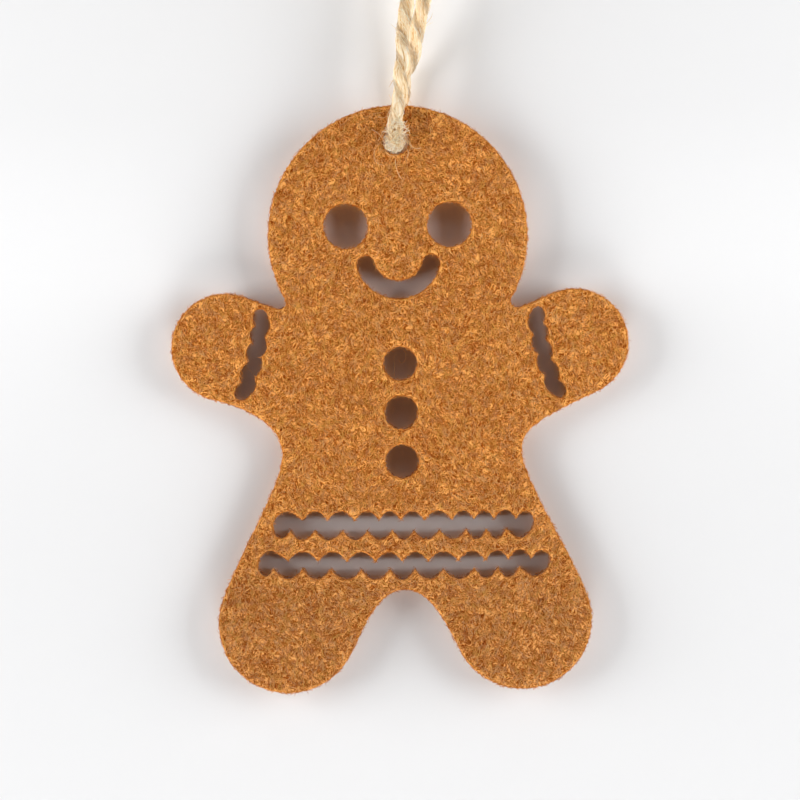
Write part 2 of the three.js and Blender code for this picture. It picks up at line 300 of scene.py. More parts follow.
def ply_skin(line, phase, swell, seed):
    """One ply of a twine: its centre turns round the line once in a pitch, left handed, and its section is a
    circle times the ridges of its fibres. swell thickens it along the way."""
    distance = distance_along(line)
    _, sides, ups = frames_along(line)
    turned = phase - 2 * math.pi * distance / ply_pitch
    centre = line + (ply_offset * swell)[:, None] * turned_from(sides, ups, turned[:, None])
    angle = np.linspace(0, 2 * math.pi, ply_sides, endpoint=False)[None, :, None]
    ridges = fibre_ridges(distance, seed)
    radius = ply_radius * swell[:, None] + ridge_height * ridges
    around = turned_from(sides[:, None, :], ups[:, None, :], angle)
    return centre[:, None, :] + radius[:, :, None] * around, ridges


def twine_piece(name, skins, part=slice(None)):
    """The plies of a stretch of twine as one object. part picks the rings of the stretch."""
    points, faces, tones = [], [], []
    for rings, ridges in skins:
        first = sum(map(len, points))
        faces += [first + corners for corners in tube_faces(len(rings[part]), ply_sides)]
        points.append(rings[part].reshape(-1, 3))
        tones.append(ridges[part].ravel())
    return mesh_object(name, np.concatenate(points), faces, tone=np.concatenate(tones))


def twine_skins(line, phase, seed, swell=1.0):
    """The skins of both plies of a twine."""
    swell = swell * np.ones(len(line))
    turns = [phase + 2 * math.pi * ply / ply_count for ply in range(ply_count)]
    return [ply_skin(line, turned, swell, seed + ply) for ply, turned in enumerate(turns)]


whole_line = np.concatenate([front_line[::-1], back_line[1:]])
from_bend = np.abs(distance_along(whole_line) - front_length)
loosened = 1 + (mat_swell - 1) * np.clip(1 - from_bend / mat_reach, 0, 1) ** 0.5
whole_skins = twine_skins(whole_line, phase=1.0, seed=21, swell=loosened)
twine_front = twine_piece("twine_front", whole_skins, slice(0, len(front_line)))
twine_back = twine_piece("twine_back", whole_skins, slice(len(front_line) - 1, None))

# %% [markdown]
# The knot is an overhand knot tied in both strands together and pulled tight. The pair comes up through the
# middle, lies once and a half round itself like a coil, is tucked in under its own turns and leaves at the
# top. The pair's way is a table of places round the middle of the knot. The two strands lie side by side
# along it: across the knot where they come in and go out, and one above the other where they go round.

# %% Knot and tails
knot_low, knot_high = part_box("twine_knot")
knot_height = knot_high.z - knot_low.z
knot_flatness = 0.7
knot_swell = 0.97
pair_gap = 1.25 * mm
tail_above_knot = 0.3 * mm
# Degrees round the knot, millimetres from its middle, share of its height, share of the pair that lies level
knot_route_shares = [
    (0, 0.0, 0.0, 1.0),
    (20, 0.3, 0.22, 0.9),
    (80, 1.2, 0.5, 0.6),
    (120, 2.6, 0.7, 0.25),
    (170, 3.7, 0.74, 0.0),
    (225, 4.1, 0.69, 0.0),
    (280, 4.15, 0.61, 0.0),
    (335, 4.15, 0.53, 0.0),
    (390, 4.15, 0.45, 0.0),
    (445, 4.15, 0.38, 0.0),
    (500, 4.0, 0.34, 0.0),
    (560, 3.4, 0.36, 0.0),
    (610, 2.2, 0.46, 0.3),
    (650, 1.0, 0.66, 0.7),
    (680, 0.2, 0.85, 1.0),
    (700, 0.0, 1.0, 1.0),
]
left_tail_route = [(-1.5, -0.1, 1.2), (-2.6, -0.5, 4), (-4.6, -1, 6.6), (-6.6, -1.5, 8.4)]
right_tail_route = [(1.5, 0.1, 1.2), (2.1, 0.4, 4.2), (3.4, 1, 7.2), (4.6, 1.6, 9.6)]


def knot_line(side):
    """One strand's way through the knot: the pair's way, moved half the pair's gap level or upright."""
    turned, reach, height, level = np.array(knot_route_shares).T
    angle = np.radians(turned - 90)
    x = reach * mm * np.cos(angle) + side * pair_gap * level
    y = reach * mm * np.sin(angle) * knot_flatness
    z = knot_low.z + knot_height * height + side * pair_gap * np.sqrt(1 - level * level)
    return smooth_line(np.stack([x, y, z], axis=1), ring_step)[0]


def tail_line(route):
    """A tail from the top of the knot along its route."""
    x, y, _ = route[0]
    points = [(x * mm, y * mm, knot_high.z + tail_above_knot)]
    points += [(px * mm, py * mm, knot_high.z + rise * mm) for px, py, rise in route]
    return smooth_line(np.array(points), ring_step)[0]


knot_lines = [knot_line(-1), knot_line(1)]
knot_skins = [
    *twine_skins(knot_lines[0], phase=0.4, seed=41, swell=knot_swell),
    *twine_skins(knot_lines[1], phase=1.1, seed=43, swell=knot_swell),
]
knot = twine_piece("knot", knot_skins)
tail_lines = [tail_line(left_tail_route), tail_line(right_tail_route)]
tail_left = twine_piece("tail_left", twine_skins(tail_lines[0], phase=0.4, seed=31))
tail_right = twine_piece("tail_right", twine_skins(tail_lines[1], phase=1.9, seed=35))

# %% [markdown]
# Loose fibres are what makes jute and felt look like themselves. Each is a thin tube of three sides along a
# short line, thinner at both ends. All the fibres of a piece are worked out at once: an array of lines of a
# few points each goes in, and one mesh comes out. Three sides and few points keep a fibre at some two dozen
# triangles, so that there can be thousands.


# %% Fibre helper
fibre_sides = 3
fibre_taper = 1 / 3
# A direction that hardly any fibre follows
square_to = (0.05, 1.0, 0.08)


def fibre_mesh(name, lines, radii):
    """Tubes of three sides along (n, k, 3) lines. A tube is as thick as its radius along the way and a third
    of that at its ends. Each fibre has a tone of its own, from 0 to 1."""
    count, steps = lines.shape[:2]
    tangents = unit(np.gradient(lines, axis=1))
    sides = unit(np.cross(tangents, square_to))
    ups = np.cross(tangents, sides)
    taper = np.ones(steps)
    taper[[0, -1]] = fibre_taper
    reach = (np.asarray(radii)[:, None] * taper)[:, :, None, None]
    angle = (math.pi / 2 + 2 * math.pi * np.arange(fibre_sides) / fibre_sides)[:, None]
    points = lines[:, :, None, :] + reach * turned_from(sides[:, :, None, :], ups[:, :, None, :], angle)
    first = np.arange(count)[:, None, None] * steps * fibre_sides
    faces = [(first + part).reshape(-1, part.shape[1]) for part in tube_faces(steps, fibre_sides)]
    tones = np.repeat(random.uniform(0, 1, count), steps * fibre_sides)
    return mesh_object(name, points.reshape(-1, 3), faces, tone=tones)


# %% [markdown]
# Jute sheds short stiff hairs. Most lie along the twine and only lift at one end. Near the hole the felt has
# rubbed them up into a loose mat.

# %% Fuzz of the twine
hair_points = 6
hair_radii = (0.03 * mm, 0.06 * mm)
hair_turn = 0.9
hair_length_shares = (0.35, 1)
hair_root_shares = (0.86, 1.06)
twine_radius = 1.15 * mm
fray_length_shares = (0.3, 1)
fray_spread = 0.9
fray_tousle = 0.16
fray_sunk = 0.8 * mm


def fuzz_lines(line, count, reach, lift, first=0.0):
    """Hairs along a twine, past the first share of it. A hair starts on the skin at a random place, runs on
    along the twine for up to the reach while it turns with the plies, and its distance from the middle grows
    by up to the lift, as the square of the way along it."""
    _, sides, ups = frames_along(line)
    spacing = distance_along(line)[-1] / (len(line) - 1)
    start = random.uniform(first, 1, count) * (len(line) - 1)
    length = reach * random.uniform(*hair_length_shares, count) * random.choice([-1, 1], count)
    share = np.linspace(0, 1, hair_points)[None, :]
    at = np.clip(start[:, None] + length[:, None] * share / spacing, 0, len(line) - 1)
    low = np.minimum(at.astype(int), len(line) - 2)
    part = (at - low)[:, :, None]
    turned = random.uniform(0, 2 * math.pi, count)[:, None] - 2 * math.pi * at * spacing / ply_pitch
    turned = turned + random.uniform(-hair_turn, hair_turn, count)[:, None] * share
    away = twine_radius * random.uniform(*hair_root_shares, count)[:, None]
    away = away + lift * random.uniform(0, 1, count)[:, None] ** 2 * share * share
    middle = line[low] * (1 - part) + line[low + 1] * part
    return middle + away[:, :, None] * turned_from(sides[low], ups[low], turned[:, :, None])


def fray_lines(line, count, reach):
    """Hairs that stand out of the end of a twine: each leaves the end's face along the twine and spreads."""
    tangents, sides, ups = frames_along(line)
    angle = random.uniform(0, 2 * math.pi, count)
    away = np.sqrt(random.uniform(0, 1, count))
    across = away[:, None] * turned_from(sides[-1], ups[-1], angle[:, None])
    share = np.linspace(0, 1, hair_points)[None, :, None]
    length = (reach * random.uniform(*fray_length_shares, count))[:, None, None]
    start = line[-1] - fray_sunk * tangents[-1] + twine_radius * across[:, None, :]
    spread = fray_spread * across[:, None, :] + random.normal(0, fray_tousle, (count, 1, 3))
    return start + length * (share * tangents[-1] + share * share * spread)


mat_count = 230
mat_radii = (0.05 * mm, 0.09 * mm)
mat_half_width = 1.5 * mm
mat_thickness = 1.3 * mm
mat_flatness = 0.7
mat_middle = -0.65 * mm
# Where along the bend the mat starts, is thickest and ends
mat_arc = (0.8 * mm, 3.5 * mm, 11 * mm)
mat_turn = 0.9
mat_curl = 1.3
mat_length = (1.2 * mm, 3.2 * mm)
mat_lift = (-0.15 * mm, 0.6 * mm)
mat_lift_middle_share = 0.3


def mat_lines(count):
    """Hairs matted over the front of the bend. They are curled in a flat map of it, whose axes are the place
    across the twine and the way along the bend from its lowest point, and that map is then wrapped round."""
    across = mat_middle + mat_half_width * random.normal(0, 0.5, count).clip(-1, 1)
    places = np.stack([across, random.triangular(*mat_arc, count)], axis=1)
    turn = math.pi / 2 + random.normal(0, mat_turn, count)
    length = random.uniform(*mat_length, count)
    curves = curled(places, turn, length, random.normal(0, mat_curl, count), hair_points)
    x = curves[:, :, 0]
    share = np.linspace(-1, 1, hair_points)
    lift = random.uniform(*mat_lift, count)[:, None] * (mat_lift_middle_share + share * share)
    bulge = np.sqrt(np.maximum(mat_thickness**2 - (mat_flatness * (x - mat_middle)) ** 2, 0))
    reach = bend_radius + bulge + lift
    outer = bend_radius + mat_thickness
    angle = np.clip(curves[:, :, 1] / outer, 0, math.pi / 2)
    above = np.maximum(curves[:, :, 1] - outer * math.pi / 2, 0)
    leaned = x + front_lean * angle / (math.pi / 2)
    low = np.maximum(bend_z - reach * np.cos(angle), hole_low_z)
    return np.stack([leaned, -reach * np.sin(angle), low + above], axis=-1)


def curled(places, angle, length, curl, count):
    """Plane curves of count points through places: the heading turns evenly from angle - curl / 2 to
    angle + curl / 2."""
    heading = angle[:, None] + curl[:, None] * np.linspace(-0.5, 0.5, count)
    middle = (heading[:, 1:] + heading[:, :-1]) / 2
    steps = length[:, None, None] / (count - 1) * np.stack([np.cos(middle), np.sin(middle)], axis=-1)
    curves = np.pad(np.cumsum(steps, axis=1), ((0, 0), (1, 0), (0, 0)))
    return curves + (places - curves.mean(axis=1))[:, None, :]


# Hairs on a strand, how far they run and how far they lift, and the share of it at the hole that has none
strand_hairs = ((900, 7 * mm, 0.25 * mm), (260, 5 * mm, 1.2 * mm))
bare_share = 0.08
strand_lines = np.concatenate(
    [fuzz_lines(line, *hairs, bare_share) for line in (front_line, back_line) for hairs in strand_hairs]
)
mat = fibre_mesh("hole_mat", mat_lines(mat_count), random.uniform(*mat_radii, mat_count))
strand_radii = random.uniform(*hair_radii, len(strand_lines))
twine_fuzz = fibre_mesh("twine_fuzz", strand_lines, strand_radii)
knot_hairs = (500, 5 * mm, 0.8 * mm)
tail_hairs = (220, 4 * mm, 1.2 * mm)
frayed_hairs = (260, 3.2 * mm)
knot_fuzz_lines = np.concatenate(
    [fuzz_lines(line, *knot_hairs) for line in knot_lines]
    + [fuzz_lines(line, *tail_hairs) for line in tail_lines]
    + [fray_lines(line, *frayed_hairs) for line in tail_lines]
)
knot_fuzz_lines[:, :, 2] = np.maximum(knot_fuzz_lines[:, :, 2], knot_low.z)
knot_fuzz = fibre_mesh("knot_fuzz", knot_fuzz_lines, random.uniform(*hair_radii, len(knot_fuzz_lines)))

# %% [markdown]
# The felt sheet is one piece with every opening cut through it. Its outline is read from the frame: the edges
# that only one triangle of the front face uses are the edge of the sheet and of its holes. A smooth curve
# replaces the straight facets, except at the sharp points between scallops, which stay sharp.

# %% The outline of the felt
corner_turn = math.radians(52)
edge_step = 0.33 * mm


def outline_loops(node):
    """Closed loops of (x, z) points round the front face of a node, each with the felt on its left."""
    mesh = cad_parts[node].data
    points = np.zeros(len(mesh.vertices) * 3)
    mesh.vertices.foreach_get("co", points)
    corners = np.zeros(len(mesh.polygons) * 3, int)
    mesh.polygons.foreach_get("vertices", corners)
    places, index = np.unique(points.reshape(-1, 3).round(7), axis=0, return_inverse=True)
    triangles = index.ravel()[corners].reshape(-1, 3)
    front = triangles[(places[triangles][:, :, 1] == places[:, 1].min()).all(axis=1)]
    edges = np.concatenate([front[:, [0, 1]], front[:, [1, 2]], front[:, [2, 0]]])
    used = set(map(tuple, edges))
    following = {a: b for a, b in edges if (b, a) not in used}
    loops = []
    while following:
        loop = [min(following)]
        while loop[-1] in following:
            loop.append(following.pop(loop[-1]))
        loops.append(places[loop[:-1]][:, [0, 2]])
    return sorted(loops, key=len, reverse=True)


def smooth_loop(loop):
    """A loop with its facets replaced by smooth curves between its sharp corners."""
    before = loop - np.roll(loop, 1, axis=0)
    after = np.roll(loop, -1, axis=0) - loop
    cross = before[:, 0] * after[:, 1] - before[:, 1] * after[:, 0]
    turned = np.abs(np.arctan2(cross, (before * after).sum(axis=1)))
    sharp = np.flatnonzero(turned > corner_turn)
    if len(sharp) == 0:
        wrapped = np.concatenate([loop[-3:], loop, loop[:4]])
        line, _ = smooth_line(wrapped, edge_step)
        around = distance_along([*loop, loop[0]])[-1]
        count = round(around / edge_step)
        walked = distance_along(line)
        at = distance_along(wrapped)[3] + np.arange(count) * around / count
        return np.stack([np.interp(at, walked, values) for values in line.T], axis=1)
    loop = np.roll(loop, -sharp[0], axis=0)
    ends = [*(sharp - sharp[0]), len(loop)]
    closed = np.concatenate([loop, loop[:1]])
    pairs = zip(ends, ends[1:])
    return np.concatenate([smooth_line(closed[start : end + 1], edge_step)[0][:-1] for start, end in pairs])


edge_loops = [smooth_loop(loop) for loop in outline_loops("felt_figure")]
edge_points = np.concatenate(edge_loops)
edge_ends = np.concatenate([np.roll(loop, -1, axis=0) for loop in edge_loops])
print("felt: loops", [len(loop) for loop in edge_loops], "points in all", len(edge_points))

# %% [markdown]
# How deep a point lies in the felt, measured from the nearest cut edge, decides the shape of the sheet there:
# the faces are flat, and roll over a little at every edge. The sign comes from counting how many edges a ray
# from the point crosses. Thousands of fibres will ask for it too, so it is worked out once on a grid: first
# at coarse steps, then exactly where an edge is near. Everything else looks it up there.


# %% Depth in the felt
grid_step = 0.25 * mm
grid_border = 3 * mm
coarse_steps = 6
depth_margin = 2 * mm
batch_size = 128


def exact_depth(places):
    """Distance of (n, 2) places from the nearest cut edge, positive in the felt."""
    run = edge_ends - edge_points
    length = (run * run).sum(axis=1)
    rise = np.where(run[:, 1] == 0, 1, run[:, 1])
    depth = np.empty(len(places))
    for first in range(0, len(places), batch_size):
        some = places[first : first + batch_size]
        across = some[:, :1] - edge_points[:, 0]
        up = some[:, 1:] - edge_points[:, 1]
        share = np.minimum(np.maximum((across * run[:, 0] + up * run[:, 1]) / length, 0), 1)
        nearest = np.sqrt(((across - share * run[:, 0]) ** 2 + (up - share * run[:, 1]) ** 2).min(axis=1))
        spans = (up < 0) != (some[:, 1:] < edge_ends[:, 1])
        inside = (spans & (across < up * run[:, 0] / rise)).sum(axis=1) % 2 == 1
        depth[first : first + batch_size] = np.where(inside, nearest, -nearest)
    return depth


def depth_grid():
    """Depth at a grid of places over the sheet, and the place of the grid's first corner."""
    low = np.array([sheet_low.x, sheet_low.z]) - grid_border
    high = np.array([sheet_high.x, sheet_high.z]) + grid_border
    counts = np.ceil((high - low) / (grid_step * coarse_steps)).astype(int) * coarse_steps
    cells = np.stack(np.meshgrid(*[np.arange(0, count, coarse_steps) for count in counts], indexing="ij"), -1)
    middles = low + (cells.reshape(-1, 2) + (coarse_steps - 1) / 2) * grid_step
    coarse = exact_depth(middles).reshape(cells.shape[:2])
    depth = np.repeat(np.repeat(coarse, coarse_steps, axis=0), coarse_steps, axis=1)
    near = np.argwhere(np.abs(depth) < depth_margin)
    depth[tuple(near.T)] = exact_depth(low + near * grid_step)
    return depth, low


felt_depths, grid_low = depth_grid()
print("depth grid:", felt_depths.shape, "places, deepest", round(felt_depths.max() / mm, 1), "mm")


def depth_in_felt(places, exact_within=0.0):
    """Depth of (n, 2) places in the felt, mixed from the four grid values around each. Where that is less
    than exact_within the depth is worked out anew."""
    at = np.clip((places - grid_low) / grid_step, 0, np.array(felt_depths.shape) - 1.001)
    i, j = at.astype(int).T
    u, v = (at - at.astype(int)).T
    low_row = felt_depths[i, j] * (1 - u) + felt_depths[i + 1, j] * u
    high_row = felt_depths[i, j + 1] * (1 - u) + felt_depths[i + 1, j + 1] * u
    depth = low_row * (1 - v) + high_row * v
    near = np.abs(depth) < exact_within
    depth[near] = exact_depth(places[near])
    return depth


# %% [markdown]
# The mesh of the sheet: a triangular net of points fills the faces, rings of points follow every edge closer
# and closer, and rows of points go down the cut walls. The faces roll over by a quarter circle at the edge.
# The front face's triangles come from a Delaunay net that keeps the edges, and the back face repeats them.

# %% Felt sheet
half_thickness = sheet_high.y
net_step = 0.43 * mm
net_jitter = 0.12
rim_radius = 0.32 * mm
rim_rings = (0.07 * mm, 0.18 * mm, 0.36 * mm)
# A ring's point stays where it lies deeper than this share of the ring's inset, and a point of the net where
# it lies farther than this share of a step past the last ring
ring_share = 0.8
net_share = 0.5
weld_distance = 1e-7
wall_rows = 9
dent_depth = 0.07 * mm
# Share, size and seed of each noise that dents the faces
dent_layers = ((0.35, 1.3 * mm, 5), (0.6, 0.55 * mm, 6))


def loop_inwards(loop):
    """Unit vectors from a loop's points into the felt."""
    along = unit(np.roll(loop, -1, axis=0) - np.roll(loop, 1, axis=0))
    return np.stack([-along[:, 1], along[:, 0]], axis=1)


edge_inwards = np.concatenate([loop_inwards(loop) for loop in edge_loops])


def net_places():
    """Places of a triangular net over the sheet's box."""
    row_step = net_step * math.sqrt(3) / 2
    columns = np.arange(sheet_low.x, sheet_high.x, net_step)
    rows = np.arange(sheet_low.z, sheet_high.z, row_step)
    x, z = np.meshgrid(columns, rows)
    x = x + (np.arange(len(rows)) % 2)[:, None] * net_step / 2
    jitter = random.uniform(-net_jitter, net_jitter, (2, *x.shape)) * net_step
    return np.stack([x + jitter[0], z + jitter[1]], axis=-1).reshape(-1, 2)


def sheet_dents(points):
    """How far the face stands out at points, from noises of several sizes."""
    return dent_depth * sum(share * value_noise(points, size, seed) for share, size, seed in dent_layers)


def felt_sheet():
    """The sheet as one closed mesh, how far each point is from a cut edge, and which are on a cut wall."""
    rings = []
    for inset in rim_rings:
        ring = edge_points + inset * edge_inwards
        rings.append(ring[depth_in_felt(ring) > ring_share * inset])
    net = net_places()
    net = net[depth_in_felt(net) > rim_rings[-1] + net_share * net_step]
    places = np.concatenate([edge_points, *rings, net])
    edge_count = len(edge_points)
    firsts = np.cumsum([0, *map(len, edge_loops)])
    following = [first + np.roll(np.arange(len(loop)), -1) for first, loop in zip(firsts, edge_loops)]
    following = np.concatenate(following)
    here = np.arange(edge_count)
    edges = np.stack([here, following], axis=1).tolist()
    result = geometry.delaunay_2d_cdt([Vector(p) for p in places / mm], edges, [], 0, weld_distance, False)
    triangles = np.array(result[2])
    placed = np.array([tuple(p) for p in result[0]]) * mm
    triangles = triangles[depth_in_felt(placed[triangles].mean(axis=1), grid_step) > 0]
    depth = np.concatenate([np.zeros(edge_count), depth_in_felt(placed[edge_count:])])
    roll = np.clip(1 - depth / rim_radius, 0, 1)
    height = half_thickness - rim_radius * (1 - np.sqrt(1 - roll * roll))
    count = len(placed)

    front = np.insert(placed, 1, -height, axis=1)
    behind = np.insert(placed, 1, height, axis=1)
    levels = np.linspace(-1, 1, wall_rows + 2)[1:-1] * (half_thickness - rim_radius)
    walls = [np.insert(edge_points, 1, level, axis=1) for level in levels]
    points = np.concatenate([front, behind, *walls])

    rows = [0, *(2 * count + edge_count * np.arange(wall_rows)), count]
    pairs = zip(rows, rows[1:])
    quads = [np.stack([low + following, low + here, high + here, high + following], 1) for low, high in pairs]
    edge_depth = np.concatenate([depth, depth, np.zeros(wall_rows * edge_count)])
    is_wall = np.concatenate([np.zeros(2 * count), np.ones(wall_rows * edge_count)])
    points[:, 1] += np.sign(points[:, 1]) * np.clip(edge_depth / rim_radius, 0, 1) * sheet_dents(points)
    return points, [triangles, triangles[:, ::-1] + count, np.concatenate(quads)], edge_depth, is_wall


sheet_points, sheet_faces, sheet_depth, sheet_wall = felt_sheet()
felt = mesh_object("felt", sheet_points, sheet_faces, depth=sheet_depth / mm, wall=sheet_wall)

# %% [markdown]
# Felt is a tangle of curled fibres that were pricked together with needles. On the faces each fibre shows for
# a millimetre or so: it comes up out of the sheet, bends over and dives in again. These arcs are real
# geometry here. They lie at random over both faces, in several pieces so that none has too many triangles.

# %% Fibres on the faces
# Places tried in one batch, of which those in the felt get a fibre
places_tried = 12500
fibre_points = 5
fibre_radii = (0.036 * mm, 0.064 * mm)
fibre_length = (0.8 * mm, 2.2 * mm)
fibre_curl = 1.5
fibre_sunk = 0.07 * mm
fibre_rise = (0.08 * mm, 0.28 * mm)
fibre_margin = -0.05 * mm
tuft_size = 4 * mm
tuft_turn = 1.4
tuft_spread = 0.7


def face_fibres(count, side):
    """Arcs over one face, side -1 for the front: height is sunk at the ends and follows 1 - (2s)^2 between.
    Most stand steep, and neighbours lie roughly alike, as the needles left them."""
    places = random.uniform((sheet_low.x, sheet_low.z), (sheet_high.x, sheet_high.z), (count, 2))
    tuft = value_noise(np.insert(places, 1, side * tuft_size, axis=1), tuft_size, 9)
    turn = math.pi / 2 + tuft_turn * tuft + random.normal(0, tuft_spread, count)
    length = random.uniform(*fibre_length, count)
    curves = curled(places, turn, length, random.normal(0, fibre_curl, count), fibre_points)
    inside = depth_in_felt(curves.reshape(-1, 2)).reshape(curves.shape[:2]).min(axis=1) > fibre_margin
    curves = curves[inside]
    share = np.linspace(-0.5, 0.5, fibre_points)
    rise = random.uniform(*fibre_rise, len(curves))[:, None] * (1 - 4 * share * share) - fibre_sunk
    flat = np.insert(curves, 1, side * half_thickness, axis=2).reshape(-1, 3)
    flat[:, 1] += side * (rise.ravel() + sheet_dents(flat))
    return flat.reshape(len(curves), fibre_points, 3)


fibre_pieces = []
for side, name, batches in ((-1, "front_fibres", 4), (1, "back_fibres", 2)):
    for batch in range(batches):
        lines = face_fibres(places_tried, side)
        radii = random.uniform(*fibre_radii, len(lines))
        fibre_pieces.append(fibre_mesh(f"{name}_{batch + 1}", lines, radii))

# %% [markdown]
# The laser leaves a crisp edge, but a few fibres still stand out of it, which softens the outline.

# %% Fibres on the edges
rim_fibre_count = 7600
rim_fibre_radii = (0.025 * mm, 0.045 * mm)
rim_fibre_length = (0.5 * mm, 1.4 * mm)
rim_fibre_out = (-0.12 * mm, 0.1 * mm)
rim_fibre_turn = 0.45
rim_fibre_curl = 0.9
rim_fibre_depth = 0.5 * mm
rim_fibre_wave = 0.08 * mm
rim_side_shares = (0.6, 0.4)


def rim_fibres(count):
    """Short arcs that follow the edges of both faces, each a little in or out from the edge."""
    start = random.integers(0, len(edge_points), count)
    inwards = edge_inwards[start]
    along = np.arctan2(inwards[:, 1], inwards[:, 0]) + math.pi / 2
    places = edge_points[start] - inwards * random.uniform(*rim_fibre_out, count)[:, None]
    angle = along + random.normal(0, rim_fibre_turn, count)
    length = random.uniform(*rim_fibre_length, count)
    curves = curled(places, angle, length, random.normal(0, rim_fibre_curl, count), fibre_points)
    side = random.choice([-1, 1], count, p=rim_side_shares)
    level = side * (half_thickness - random.uniform(0, rim_fibre_depth, count))
    level = level[:, None] + random.normal(0, rim_fibre_wave, (count, fibre_points))
    return np.stack([curves[:, :, 0], level, curves[:, :, 1]], axis=-1)


edge_lines = rim_fibres(rim_fibre_count)
edge_fibres = fibre_mesh("edge_fibres", edge_lines, random.uniform(*rim_fibre_radii, rim_fibre_count))

# %% [markdown]
# A few long pale hairs of jute have come off the twine and lie on the felt round the hole. They are drawn one
# by one, as places on the face in millimetres from the middle of the hole, and smoothed.

# %% Stray hairs
stray_points = 16
stray_step = 0.1 * mm
stray_radius = 0.045 * mm
stray_arch = 0.12 * mm
stray_y = -half_thickness - 0.22 * mm
stray_routes = [
    [(-1.6, 0.4), (-2.3, 0.1), (-3.5, -1.1), (-3.8, -2.3), (-3.4, -3.6), (-2.0, -4.1)],
    [(-4.2, 2.1), (-3.7, 1.9), (-2.7, 1.1), (-2.2, 0.5), (-1.7, 0.5)],
    [(-3.0, 0.1), (-2.7, 0.8), (-2.2, 1.3), (-1.5, 1.6)],
    [(-3.0, 4.4), (-2.5, 4.1), (-1.9, 4.1), (-1.3, 4.4)],
    [(-3.9, 4.7), (-3.0, 4.9), (-2.2, 4.9)],
    [(-2.0, -1.4), (-1.3, -2.3), (-0.5, -2.5), (0.3, -2.4)],
    [(-0.2, -3.0), (-0.1, -4.2), (0.4, -5.8), (0.9, -6.5)],
    [(1.3, 0.6), (2.1, -0.3), (2.7, -1.0), (3.5, -1.3), (4.4, -1.2)],
    [(1.1, 1.5), (1.7, 0.5), (2.5, -0.5), (2.8, -1.4)],
    [(1.5, -0.9), (2.1, -1.9), (1.9, -2.9)],
    [(0.6, 1.8), (1.5, 1.4), (2.3, 0.3), (2.5, -0.4)],
]
# Hairs caught in the first button and in the left cuff
caught_radius = 0.03 * mm
caught_y = 0.8 * mm
caught_routes = [
    [(-0.5, -35.8), (0.0, -35.6), (0.6, -35.8), (1.0, -36.6), (0.7, -37.8), (0.2, -38.1), (-0.3, -37.4)],
    [(-0.5, -36.6), (-1.0, -36.8), (-1.0, -38.6), (-1.1, -40.6)],
    [(-26.6, -38.3), (-25.9, -38.8), (-25.4, -39.5)],
]


def stray_lines(routes, y):
    """Stray hairs at one distance from the middle of the sheet, each arched a little towards the front."""
    lines = []
    for route in routes:
        flat = np.array([(x * mm, 0, hole_z + z * mm) for x, z in route])
        line, _ = smooth_line(flat, stray_step)
        line = line[np.linspace(0, len(line) - 1, stray_points).astype(int)]
        line[:, 1] = y - stray_arch * np.sin(np.linspace(0, math.pi, stray_points))
        lines.append(line)
    return np.array(lines)


stray_hairs = fibre_mesh(
    "stray_hairs",
    np.concatenate([stray_lines(stray_routes, stray_y), stray_lines(caught_routes, caught_y)]),
    np.repeat([stray_radius, caught_radius], [len(stray_routes), len(caught_routes)]),
)

# %% [markdown]
# Every finish is made of the same few nodes, so a small helper adds a node, sets its inputs and properties,
# and links what is an output of another node.


